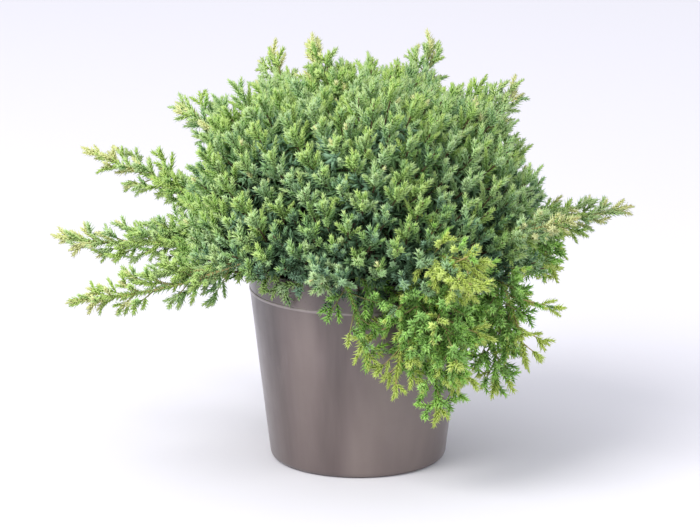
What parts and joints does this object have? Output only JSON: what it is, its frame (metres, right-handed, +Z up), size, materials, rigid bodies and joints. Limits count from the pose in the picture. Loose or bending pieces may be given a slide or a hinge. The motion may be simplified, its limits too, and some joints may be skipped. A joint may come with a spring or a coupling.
{
  "type": "potted juniper",
  "caption": "Low cushion-shaped garden juniper with long spreading and trailing leaders, growing in a round tapered nursery pot.",
  "frame": {"origin": "middle of the pot's flat underside", "axes": "+Z up along the pot's axis, -Y towards the side that the picture shows, +X to that view's right"},
  "size_m": [0.4404, 0.3441, 0.3105],
  "materials": {
    "pot_plastic": "satin taupe",
    "potting_soil": "dark crumbly peat",
    "bark": "rough brown bark",
    "needles": "green needles, bluish inside and yellower at the tips"
  },
  "bodies": {
    "root": {"bough_back": "bark", "bough_front": "bark", "bough_front_right": "bark", "bough_high_back_left": "bark", "bough_high_back_right": "bark", "bough_high_front": "bark", "bough_high_left": "bark", "bough_high_right": "bark", "bough_left": "bark", "bough_left_back": "bark", "bough_left_front": "bark", "bough_right": "bark", "bough_right_back": "bark", "bough_right_front": "bark", "foliage_back": "needles", "foliage_front": "needles", "foliage_front_right": "needles", "foliage_high_back_left": "needles", "foliage_high_back_right": "needles", "foliage_high_front": "needles", "foliage_high_left": "needles", "foliage_high_right": "needles", "foliage_left": "needles", "foliage_left_back": "needles", "foliage_left_front": "needles", "foliage_right": "needles", "foliage_right_back": "needles", "foliage_right_front": "needles", "foliage_top": "needles", "pot": "pot_plastic", "soil": "potting_soil", "trunk": "bark"}
  },
  "joints": []
}
